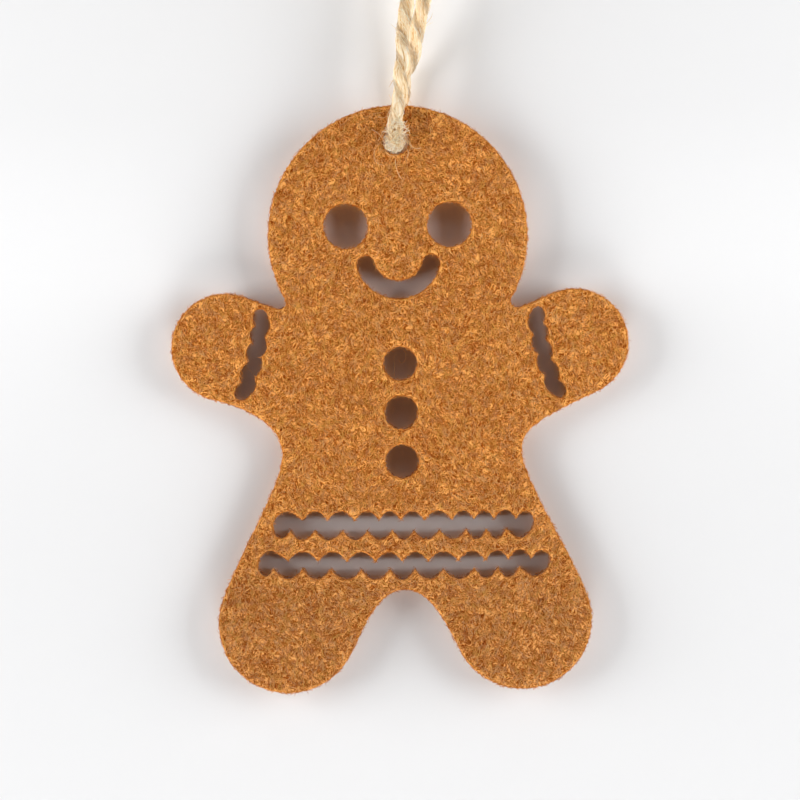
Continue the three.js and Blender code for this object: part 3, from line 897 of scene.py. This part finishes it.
# %% Node helper
class Finish:
    """A material with a Principled shader, and short ways to add nodes to it."""

    def __init__(self, name, roughness, sheen, tint, specular=0.08):
        self.material = bpy.data.materials.new(name)
        self.material.use_nodes = True
        self.nodes = self.material.node_tree.nodes
        self.shader = self.nodes["Principled BSDF"]
        values = {"Roughness": roughness, "Specular IOR Level": specular, "Base Color": tint}
        values.update({"Sheen Weight": sheen, "Sheen Tint": tint})
        for key, value in values.items():
            self.shader.inputs[key].default_value = value

    def put(self, socket, value):
        """Links an output to a socket, or sets the socket's value."""
        if isinstance(value, bpy.types.NodeSocket):
            self.material.node_tree.links.new(value, socket)
        else:
            socket.default_value = value

    def node(self, kind, inputs=(), **properties):
        """A node with its properties and its inputs, given by name or place, set or linked."""
        made = self.nodes.new("ShaderNode" + kind)
        for key, value in properties.items():
            setattr(made, key, value)
        for key, value in dict(inputs).items():
            self.put(made.inputs[key], value)
        return made

    def math(self, operation, *values):
        """The result of a math node."""
        return self.node("Math", enumerate(values), operation=operation).outputs[0]

    def between(self, value, low, high, first=0.0, last=1.0):
        """first below low, last above high, and a smooth step between."""
        inputs = enumerate((value, low, high, first, last))
        return self.node("MapRange", inputs, interpolation_type="SMOOTHSTEP").outputs[0]

    def mix(self, share, first, second, blend="MIX"):
        """A mixture of two colours."""
        made = self.node("Mix", data_type="RGBA", blend_type=blend)
        self.put(made.inputs[0], share)
        self.put(made.inputs[6], first)
        self.put(made.inputs[7], second)
        return made.outputs[2]

    def place(self):
        """Object coordinates, in metres."""
        return self.node("TexCoord").outputs["Object"]

    def by_height(self, low, high, first, last):
        """The colour first below the height low, last above high, and a smooth change between."""
        height = self.node("SeparateXYZ", {0: self.place()}).outputs["Z"]
        return self.mix(self.between(height, low, high), first, last)

    def noise(self, place, size, turned=(0, 0, 0), detail=1.0):
        """A noise of the given size along each axis, turned by Euler angles: its value and its colour."""
        inputs = {"Vector": place, "Rotation": turned, "Scale": size}
        put = self.node("Mapping", inputs, vector_type="TEXTURE").outputs[0]
        made = self.node("TexNoise", {"Vector": put, "Scale": 1.0, "Detail": detail, "Roughness": 0.55})
        return made.outputs["Fac"], made.outputs["Color"]

    def cloud(self, size, detail=1.0):
        """The value of a noise of one size along every axis."""
        return self.noise(self.place(), (size,) * 3, detail=detail)[0]

    def attribute(self, name):
        """A named value of the mesh."""
        return self.node("Attribute", attribute_name=name).outputs["Fac"]

    def bump(self, height, distance, strength):
        """Relief from a height of 0 to 1 that stands for a distance."""
        inputs = {"Height": height, "Distance": distance, "Strength": strength}
        self.put(self.shader.inputs["Normal"], self.node("Bump", inputs).outputs[0])

    def coloured(self, colour):
        """The material, with this colour."""
        self.put(self.shader.inputs["Base Color"], colour)
        return self.material


def linear(red, green, blue):
    """A colour as it is seen, 0 to 255, as the linear light that a shader works with."""
    shares = np.array([red, green, blue]) / 255
    light = np.where(shares <= 0.04045, shares / 12.92, ((shares + 0.055) / 1.055) ** 2.4)
    return (*light.tolist(), 1.0)


def dress(material, *pieces):
    """Gives the pieces a material."""
    for piece in pieces:
        piece.data.materials.append(material)


# %% [markdown]
# The felt's own surface repeats the fibres on a finer scale. A stroke is a noise squeezed to be long and
# thin. Five of them at different angles lie over each other, and the highest wins, as the top fibre hides
# those below. A slow noise bends the coordinates first, so that the strokes curl. The pits between them are
# painted dark, a painted shade. Beside a cut a clear orange rim is painted on, a painted highlight where the
# rolled edge catches the light. The cut wall is painted darker: partly a slight char from the laser and
# partly painted shade. Towards the feet the felt is painted darker, a painted shade too.

# %% Felt finish
stroke_size = (0.15 * mm, 0.4 * mm, 1.2 * mm)
stroke_turns = (12, 48, 85, 121, 157)
# The pits' colour is a painted shade
felt_pit_shade = linear(136, 60, 6)
felt_mid = linear(212, 128, 48)
felt_light = linear(250, 180, 98)
# Painted highlight along the cut edges
felt_edge_highlight = linear(226, 142, 60)
# The cut walls' colour: a slight char from the laser and painted shade
felt_wall_char_and_shade = linear(152, 92, 38)
# Values of the strokes' noise at the pits and at the tops
stroke_levels = (0.52, 0.74)
felt_shades = (0.96, 1.03)
shade_size = 9 * mm
char_and_shade_size = 1.5 * mm
# How deep the relief is and how strongly it shows
felt_relief = (0.09 * mm, 0.8)
# Depths in millimetres between which the painted highlight of the rim fades, and its share at the very edge
edge_highlight_depths = (0.1, 0.4)
edge_highlight_share = 0.3
char_and_shade_shares = (0.8, 1.0)
# The felt's painted shade at the feet, its colour untouched from the chest up, and the heights between which
# it changes
felt_feet_painted_shade = (0.87, 0.88, 1.0, 1.0)
felt_chest_unshaded = (1.0, 1.0, 1.0, 1.0)
felt_painted_shade_z = (-160 * mm, -132 * mm)
# Size of the patches of fibres that share a light colour
patch_size = 1.4 * mm


def bent_place(finish, size, reach):
    """Object coordinates moved about by a slow noise, so that what follows them curls."""
    place = finish.place()
    _, wander = finish.noise(place, (size,) * 3, detail=0.0)
    centred = finish.node("VectorMath", {0: wander, 1: (0.5, 0.5, 0.5)}, operation="SUBTRACT").outputs[0]
    moved = finish.node("VectorMath", {0: centred, "Scale": reach}, operation="SCALE").outputs[0]
    return finish.node("VectorMath", {0: place, 1: moved}, operation="ADD").outputs[0]


def with_feet_painted_shade(finish, colour):
    """The colour times a painted shade that darkens it smoothly from the chest down to the feet."""
    tint = finish.by_height(*felt_painted_shade_z, felt_feet_painted_shade, felt_chest_unshaded)
    return finish.mix(1.0, colour, tint, "MULTIPLY")


def felt_finish():
    """The finish of the felt sheet."""
    finish = Finish("felt", roughness=0.95, sheen=0.05, tint=felt_mid)
    place = bent_place(finish, 1.3 * mm, 1.6 * mm)
    top = None
    for turned in stroke_turns:
        layer, _ = finish.noise(place, stroke_size, (0, math.radians(turned), 0), detail=0.0)
        top = layer if top is None else finish.math("MAXIMUM", top, layer)
    height = finish.between(top, *stroke_levels)
    # The pits between the strokes are painted dark: painted shade
    colour = finish.mix(finish.between(height, 0.0, 0.5), felt_pit_shade, felt_mid)
    colour = finish.mix(finish.between(height, 0.5, 1.0), colour, felt_light)
    shade = finish.between(finish.cloud(shade_size, detail=2.0), 0.3, 0.7, *felt_shades)
    grey = finish.node("CombineColor", {0: shade, 1: shade, 2: shade}).outputs[0]
    # Painted shade towards the feet
    colour = with_feet_painted_shade(finish, finish.mix(1.0, colour, grey, "MULTIPLY"))
    # A painted highlight of orange along every cut edge
    near = finish.between(finish.attribute("depth"), *edge_highlight_depths, edge_highlight_share, 0.0)
    colour = finish.mix(near, colour, felt_edge_highlight)
    # The cut wall is painted darker, a slight char and painted shade
    wall_char_and_shade = finish.between(finish.cloud(char_and_shade_size, detail=2.0), 0.2, 0.7, *char_and_shade_shares)
    on_wall = finish.between(finish.attribute("wall"), 0.05, 0.9)
    finish.bump(height, *felt_relief)
    return finish.coloured(finish.mix(finish.math("MULTIPLY", on_wall, wall_char_and_shade), colour, felt_wall_char_and_shade))


def fibre_finish(name, dark, light, other_light, sheen, is_felt=True):
    """Plain fibres from dark to light by each fibre's own tone. A slow noise decides which of two lights."""
    light = linear(*light)
    finish = Finish(name, roughness=0.85, sheen=sheen, tint=light)
    either = finish.between(finish.cloud(patch_size), 0.35, 0.65)
    lit = finish.mix(either, light, linear(*other_light))
    colour = finish.mix(finish.attribute("tone"), linear(*dark), lit)
    # On the felt the fibres also take the painted shade towards the feet
    return finish.coloured(with_feet_painted_shade(finish, colour) if is_felt else colour)


felt_fibre = fibre_finish("felt_fibre", (180, 85, 6), (242, 190, 122), (242, 186, 92), sheen=0.05)
edge_fibre = fibre_finish("edge_fibre", (164, 84, 18), (248, 178, 106), (248, 172, 80), sheen=0.05)
dress(felt_finish(), felt)
dress(felt_fibre, *fibre_pieces)
dress(edge_fibre, edge_fibres)
print("felt finish:", len(stroke_turns), "layers of strokes,", round(stroke_size[2] / mm, 2), "mm long")

# %% [markdown]
# Jute runs from straw to cream. The tone follows the ridges of the plies: the grooves between them are
# painted darker, a painted shade, and a fibre that stands up is pale. Along the fibres a fine noise, long and
# thin, adds the streaks.

# %% Jute finish
# The dark end is the streaks' own tone and the painted shade of the grooves
jute_dark_and_groove_shade = linear(222, 180, 124)
jute_mid = linear(247, 219, 176)
jute_light = linear(254, 240, 214)
streak_size = (0.22 * mm, 0.22 * mm, 1.8 * mm)
# Share of the ridges in the tone, which paints shade into the grooves
groove_shade_share = 0.42
jute_relief = (0.12 * mm, 0.7)


def jute_finish():
    """The finish of the twine's plies."""
    finish = Finish("jute", roughness=0.8, sheen=0.1, tint=jute_light)
    streak, _ = finish.noise(bent_place(finish, 1.5 * mm, 0.5 * mm), streak_size)
    # The ridges' share of the tone paints shade into the grooves
    tone = finish.math("MULTIPLY_ADD", finish.attribute("tone"), groove_shade_share, streak)
    colour = finish.mix(finish.between(tone, 0.2, 0.5), jute_dark_and_groove_shade, jute_mid)
    finish.bump(streak, *jute_relief)
    return finish.coloured(finish.mix(finish.between(tone, 0.5, 0.85), colour, jute_light))


def hair_finish(name, dark, light, other_light, sheen):
    """The finish of loose hairs of jute."""
    return fibre_finish(name, dark, light, other_light, sheen, is_felt=False)


jute_hair = hair_finish("jute_hair", (228, 190, 138), (255, 252, 238), (255, 244, 212), 0.3)
matted_hair = hair_finish("matted_hair", (240, 202, 144), (255, 253, 240), (255, 246, 214), 0.5)
stray_hair = hair_finish("stray_hair", (238, 190, 128), (255, 226, 176), (255, 220, 164), 0.0)
dress(jute_finish(), twine_front, twine_back, knot, tail_left, tail_right)
dress(jute_hair, twine_fuzz, knot_fuzz)
dress(matted_hair, mat)
dress(stray_hair, stray_hairs)
print("jute finish: streaks", round(streak_size[2] / mm, 1), "mm long, and three finishes for loose hairs")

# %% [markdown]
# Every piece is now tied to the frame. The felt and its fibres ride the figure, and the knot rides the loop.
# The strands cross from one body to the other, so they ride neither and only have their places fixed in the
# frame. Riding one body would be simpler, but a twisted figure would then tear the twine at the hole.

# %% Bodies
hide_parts("felt_figure")
for piece in (felt, edge_fibres, *fibre_pieces):
    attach(piece, "figure")
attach(mat, "bight")
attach(stray_hairs, "figure")
for piece in (twine_front, twine_back, twine_fuzz):
    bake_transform(piece)
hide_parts("twine_strand_front", "twine_bight")
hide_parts("twine_strand_back")
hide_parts("twine_knot")
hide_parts("twine_tail_left")
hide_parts("twine_tail_right")
for piece in (knot, tail_left, tail_right, knot_fuzz):
    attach(piece, "loop")
print("cords:", round(front_length / mm, 1), "and", round(back_length / mm, 1), "mm, both to the knot")

# %% [markdown]
# The figure lies all but flat against white paper, which gives it the short soft shadow of the photograph.
# The paper is one sheet: it stands close behind the body, bows back behind the head to leave room for the
# twine, and curves forwards far below into a floor. From behind it is transparent, so that the back can be
# seen too. A flat plane would be simpler, but the strand behind the head would cut through it.

# %% Stage
wall_width = 700 * mm
wall_gap = 0.4 * mm
wall_bow_z = -104 * mm
wall_behind_twine = 6 * mm
wall_top_z = 150 * mm
floor_z = sheet_low.z - 300 * mm
cove_radius = 50 * mm
floor_reach = 300 * mm
wall_low_y = half_thickness + wall_gap
cove_steps = 16
bow_steps = 24


def wall_y(z):
    """The wall is flat behind the figure's body, bows back as a square of the height over the bow's start,
    and goes on straight above the head."""
    bow = (wall_behind_twine - wall_low_y) / (sheet_high.z - wall_bow_z) ** 2
    curved = np.clip(z, wall_bow_z, sheet_high.z) - wall_bow_z
    slope = 2 * bow * (sheet_high.z - wall_bow_z)
    return wall_low_y + bow * curved * curved + slope * np.maximum(z - sheet_high.z, 0)


cove_angles = np.linspace(0, math.pi / 2, cove_steps)
cove_y = wall_low_y - cove_radius * (1 - np.cos(cove_angles))
cove_z = floor_z + cove_radius * (1 - np.sin(cove_angles))
wall_heights = [wall_top_z, *np.linspace(sheet_high.z, wall_bow_z, bow_steps)]
wall = [(wall_y(z), z) for z in wall_heights]
profile = np.array([*wall, *zip(cove_y, cove_z), (wall_low_y - floor_reach, floor_z)])
grid = np.array([[(x, y, z) for x in (-wall_width / 2, wall_width / 2)] for y, z in profile])
index = np.arange(len(profile) * 2).reshape(-1, 2)
stage_faces = np.stack([index[:-1, 0], index[1:, 0], index[1:, 1], index[:-1, 1]], axis=1)
backdrop = mesh_object("backdrop", grid.reshape(-1, 3), [stage_faces])
backdrop.visible_shadow = False

# The paper is painted lighter towards the top and darker below: painted light at the top and painted shade
# below
paper_low_shaded = (0.77, 0.77, 0.775, 1)
paper_high_lit = (0.88, 0.88, 0.885, 1)
paper_light_z = (-150 * mm, -75 * mm)
paper = Finish("paper", roughness=0.9, sheen=0, tint=paper_low_shaded, specular=0.1)
dress(paper.coloured(paper.by_height(*paper_light_z, paper_low_shaded, paper_high_lit)), backdrop)
backfacing = paper.node("NewGeometry").outputs["Backfacing"]
clear = paper.node("BsdfTransparent").outputs["BSDF"]
either = paper.node("MixShader", {"Fac": backfacing, 1: paper.shader.outputs["BSDF"], 2: clear})
paper.put(paper.nodes["Material Output"].inputs["Surface"], either.outputs["Shader"])
print("stage: wall", round(wall_low_y / mm, 2), "mm behind the felt's middle, floor at", round(floor_z / mm))

# %% [markdown]
# Two soft lamps stand wide to the left and right, so that they rake over the fibres and hardly reach into the
# openings, which keeps those dark. Weak lamps above and below fill in the ends of the shadows. One stands
# straight behind, where it lights the back of the figure but not the walls of the holes. The world is white
# to the camera and dim for everything else. A single frontal lamp would be simpler, but it would flatten the
# felt and light the holes.

# %% Light
world = bpy.data.worlds.new("studio")
bpy.context.scene.world = world
world.use_nodes = True
nodes, links = world.node_tree.nodes, world.node_tree.links
background = nodes["Background"]
background.inputs["Color"].default_value = (1, 1, 1, 1)
path = nodes.new("ShaderNodeLightPath")
strength = nodes.new("ShaderNodeMix")
strength.data_type = "FLOAT"
ambient = 0.085
strength.inputs["A"].default_value = ambient
strength.inputs["B"].default_value = 1
links.new(path.outputs["Is Camera Ray"], strength.inputs["Factor"])
links.new(strength.outputs["Result"], background.inputs["Strength"])


def soft_light(name, azimuth, elevation, distance, size, power):
    """An area light aimed at the figure from an azimuth and elevation in degrees, counted as the camera's
    are, with its distance and size in metres and its power in watts."""
    a, e = math.radians(azimuth), math.radians(elevation)
    towards = Vector((math.sin(a) * math.cos(e), -math.cos(a) * math.cos(e), math.sin(e)))
    data = bpy.data.lights.new(name, "AREA")
    data.shape = "SQUARE"
    data.size = size
    data.energy = power
    lamp = bpy.data.objects.new(name, data)
    bpy.context.scene.collection.objects.link(lamp)
    place = camera_target + distance * towards
    lamp.matrix_world = Matrix.Translation(place) @ towards.to_track_quat("Z", "Y").to_matrix().to_4x4()


soft_light("left", -65, 5, 0.6, 0.45, 3.8)
soft_light("right", 63, 5, 0.6, 0.45, 3.45)
soft_light("above", 0, 50, 0.7, 0.6, 0.6)
soft_light("below", 0, -63, 0.6, 0.3, 1.55)
soft_light("behind", 180, 4, 0.9, 0.45, 4)

bpy.context.scene.view_settings.view_transform = "Standard"
